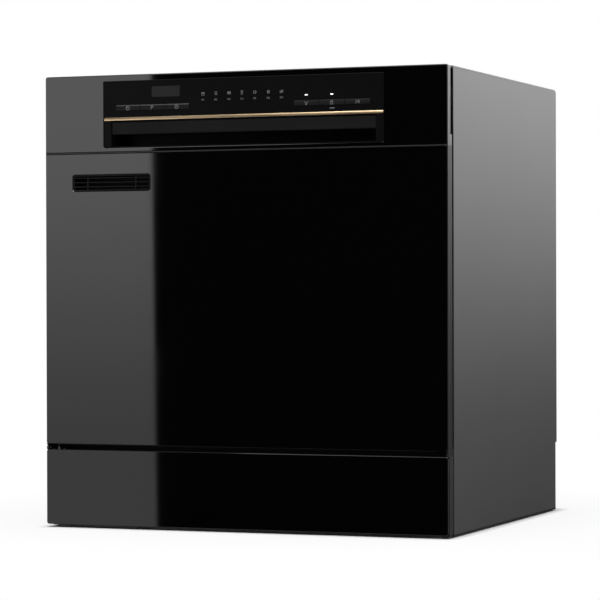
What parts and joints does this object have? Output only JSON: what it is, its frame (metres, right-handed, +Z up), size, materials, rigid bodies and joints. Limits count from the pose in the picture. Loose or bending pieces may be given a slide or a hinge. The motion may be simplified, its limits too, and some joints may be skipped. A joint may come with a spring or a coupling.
{
  "type": "countertop dishwasher",
  "caption": "Free-standing countertop dishwasher with a black glass drop-down door, recessed pull handle, push keys, spray arms and pull-out wire racks.",
  "frame": {"origin": "bottom centre of the machine's bounding box, on the surface it stands on", "axes": "+X to the right seen from the front, +Y from the glass front to the back, +Z up"},
  "size_m": [0.55, 0.5, 0.585],
  "materials": {
    "black_glass": "polished black glass",
    "front_frame_plastic": "satin silver-grey moulding",
    "black_plastic": "fine-textured black",
    "control_insert": "smoked dark gloss",
    "key_plastic": "satin black",
    "gold_trim": "brushed champagne gold",
    "display_lens": "smoked clear",
    "cabinet_paint": "dark grey metallic satin",
    "top_paint": "dark grey satin",
    "zinc_sheet": "galvanised",
    "tub_steel": "brushed stainless steel",
    "hinge_steel": "zinc plated",
    "screw_steel": "zinc plated screws",
    "rubber": "black rubber",
    "grey_rubber": "dark grey seal",
    "bitumen": "bitumen and felt mat",
    "grey_plastic": "mid grey polypropylene",
    "light_plastic": "pale grey polypropylene",
    "white_plastic": "off white nylon",
    "blue_plastic": "blue cap",
    "filter_mesh": "perforated stainless steel",
    "motor_black": "black lacquered motor",
    "circuit_board": "green laminate with parts",
    "coated_wire": "grey nylon-coated steel wire",
    "spring_steel": "bright spring wire"
  },
  "bodies": {
    "cabinet": {"base_tray": "black_plastic", "rubber_feet": "rubber", "side_panel_left": "cabinet_paint", "side_panel_right": "cabinet_paint", "top_panel": "top_paint", "back_panel": "zinc_sheet", "front_frame": "zinc_sheet", "kick_frame": "front_frame_plastic", "kick_glass": "black_glass", "cabinet_screws": "screw_steel", "tub": "tub_steel", "tub_gasket": "grey_rubber", "insulation_wrap": "bitumen", "sump": "black_plastic", "fine_filter": "filter_mesh", "rear_duct": "grey_plastic", "water_softener": "light_plastic", "wash_pump": "motor_black", "drain_pump": "black_plastic", "inlet_valve": "white_plastic", "air_break": "light_plastic", "mains_gland": "black_plastic", "hinge_brackets": "hinge_steel", "door_springs": "spring_steel", "door_striker": "hinge_steel"},
    "door": {"door_glass": "black_glass", "fascia_glass": "black_glass", "door_frame": "front_frame_plastic", "control_panel": "control_insert", "gold_strip": "gold_trim", "display_window": "display_lens", "control_board": "circuit_board", "door_liner": "tub_steel", "door_insulation": "bitumen", "hinge_arms": "hinge_steel", "vent_grille": "black_plastic", "dispenser_body": "grey_plastic"},
    "lower_rack": {"lower_rack": "coated_wire", "cutlery_basket": "grey_plastic"},
    "upper_rack": {"upper_rack": "coated_wire", "upper_rails": "zinc_sheet"},
    "filter_cup": {"filter_cup": "grey_plastic"},
    "salt_cap": {"salt_cap": "grey_plastic"},
    "lower_spray_arm": {"lower_spray_arm": "grey_plastic"},
    "front_rollers": {"front_rollers": "light_plastic"},
    "rear_rollers": {"rear_rollers": "light_plastic"},
    "wash_impeller": {"wash_impeller": "white_plastic"},
    "handle_paddle": {"handle_paddle": "key_plastic"},
    "latch_hook": {"latch_hook": "white_plastic"},
    "power_key": {"power_key": "key_plastic"},
    "program_key": {"program_key": "key_plastic"},
    "delay_key": {"delay_key": "key_plastic"},
    "dry_key": {"dry_key": "key_plastic"},
    "lock_key": {"lock_key": "key_plastic"},
    "start_key": {"start_key": "key_plastic"},
    "dispenser_lid": {"dispenser_lid": "light_plastic"},
    "rinse_cap": {"rinse_cap": "blue_plastic"},
    "lower_front_wheels": {"lower_front_wheels": "light_plastic"},
    "lower_rear_wheels": {"lower_rear_wheels": "light_plastic"},
    "upper_spray_arm": {"upper_spray_arm": "grey_plastic"}
  },
  "joints": [
    {"name": "door_hinge", "type": "hinge", "parent": "cabinet", "child": "door", "pos_m": [0, -0.24, 0.116], "axis": [1, 0, 0], "range_deg": [0, 90], "deforming": ["door_springs"]},
    {"name": "lower_rack_slide", "type": "slide", "parent": "cabinet", "child": "lower_rack", "axis": [0, -1, 0], "range_m": [0, 0.38]},
    {"name": "upper_rack_slide", "type": "slide", "parent": "cabinet", "child": "upper_rack", "axis": [0, -1, 0], "range_m": [0, 0.29]},
    {"name": "lower_front_wheel_spin", "type": "hinge", "parent": "lower_rack", "child": "lower_front_wheels", "pos_m": [0, -0.11, 0.162], "axis": [1, 0, 0], "continuous": true},
    {"name": "lower_rear_wheel_spin", "type": "hinge", "parent": "lower_rack", "child": "lower_rear_wheels", "pos_m": [0, 0.11, 0.162], "axis": [1, 0, 0], "continuous": true},
    {"name": "front_roller_spin", "type": "hinge", "parent": "cabinet", "child": "front_rollers", "pos_m": [0, -0.18, 0.43], "axis": [1, 0, 0], "continuous": true},
    {"name": "rear_roller_spin", "type": "hinge", "parent": "cabinet", "child": "rear_rollers", "pos_m": [0, -0.125, 0.43], "axis": [1, 0, 0], "continuous": true},
    {"name": "lower_arm_spin", "type": "hinge", "parent": "cabinet", "child": "lower_spray_arm", "pos_m": [0, 0, 0.144], "axis": [0, 0, 1], "continuous": true},
    {"name": "upper_arm_spin", "type": "hinge", "parent": "upper_rack", "child": "upper_spray_arm", "pos_m": [0, 0, 0.352], "axis": [0, 0, 1], "continuous": true},
    {"name": "impeller_spin", "type": "hinge", "parent": "cabinet", "child": "wash_impeller", "pos_m": [0.094, 0, 0.046], "axis": [1, 0, 0], "continuous": true},
    {"name": "filter_turn", "type": "hinge", "parent": "cabinet", "child": "filter_cup", "pos_m": [0.04, 0, 0.13], "axis": [0, 0, 1], "range_deg": [0, 60]},
    {"name": "salt_cap_turn", "type": "hinge", "parent": "cabinet", "child": "salt_cap", "pos_m": [-0.171, 0.126, 0.13], "axis": [0, 0, 1], "range_deg": [0, 90]},
    {"name": "handle_pull", "type": "hinge", "parent": "door", "child": "handle_paddle", "pos_m": [0, -0.2435, 0.5217], "axis": [-1, 0, 0], "range_deg": [0, 12], "stiffness_Nm_per_rad": 0.8, "springref_deg": -20.05},
    {"name": "latch_lift", "type": "hinge", "parent": "door", "child": "latch_hook", "pos_m": [0, -0.236, 0.577], "axis": [1, 0, 0], "range_deg": [0, 5]},
    {"name": "power_key_press", "type": "slide", "parent": "door", "child": "power_key", "axis": [0, 1, 0], "range_m": [0, 0.0012], "stiffness_N_per_m": 600, "springref_m": -0.0015},
    {"name": "program_key_press", "type": "slide", "parent": "door", "child": "program_key", "axis": [0, 1, 0], "range_m": [0, 0.0012], "stiffness_N_per_m": 600, "springref_m": -0.0015},
    {"name": "delay_key_press", "type": "slide", "parent": "door", "child": "delay_key", "axis": [0, 1, 0], "range_m": [0, 0.0012], "stiffness_N_per_m": 600, "springref_m": -0.0015},
    {"name": "dry_key_press", "type": "slide", "parent": "door", "child": "dry_key", "axis": [0, 1, 0], "range_m": [0, 0.0012], "stiffness_N_per_m": 600, "springref_m": -0.0015},
    {"name": "lock_key_press", "type": "slide", "parent": "door", "child": "lock_key", "axis": [0, 1, 0], "range_m": [0, 0.0012], "stiffness_N_per_m": 600, "springref_m": -0.0015},
    {"name": "start_key_press", "type": "slide", "parent": "door", "child": "start_key", "axis": [0, 1, 0], "range_m": [0, 0.0012], "stiffness_N_per_m": 600, "springref_m": -0.0015},
    {"name": "soap_lid_slide", "type": "slide", "parent": "door", "child": "dispenser_lid", "axis": [0, 0, 1], "range_m": [0, 0.058]},
    {"name": "rinse_cap_turn", "type": "hinge", "parent": "door", "child": "rinse_cap", "pos_m": [0.04, -0.207, 0.282], "axis": [0, 1, 0], "range_deg": [0, 90]}
  ],
  "couplings": [
    {"joint": "lower_rack_slide", "follows": "door_hinge", "m_per_rad": 0.0955},
    {"joint": "upper_rack_slide", "follows": "door_hinge", "m_per_rad": 0.1783},
    {"joint": "lower_front_wheel_spin", "follows": "door_hinge", "ratio": 7.9583},
    {"joint": "lower_rear_wheel_spin", "follows": "door_hinge", "ratio": 7.9583},
    {"joint": "front_roller_spin", "follows": "door_hinge", "ratio": 18.768},
    {"joint": "rear_roller_spin", "follows": "door_hinge", "ratio": 18.768},
    {"joint": "latch_lift", "follows": "handle_pull", "ratio": 0.4167}
  ]
}
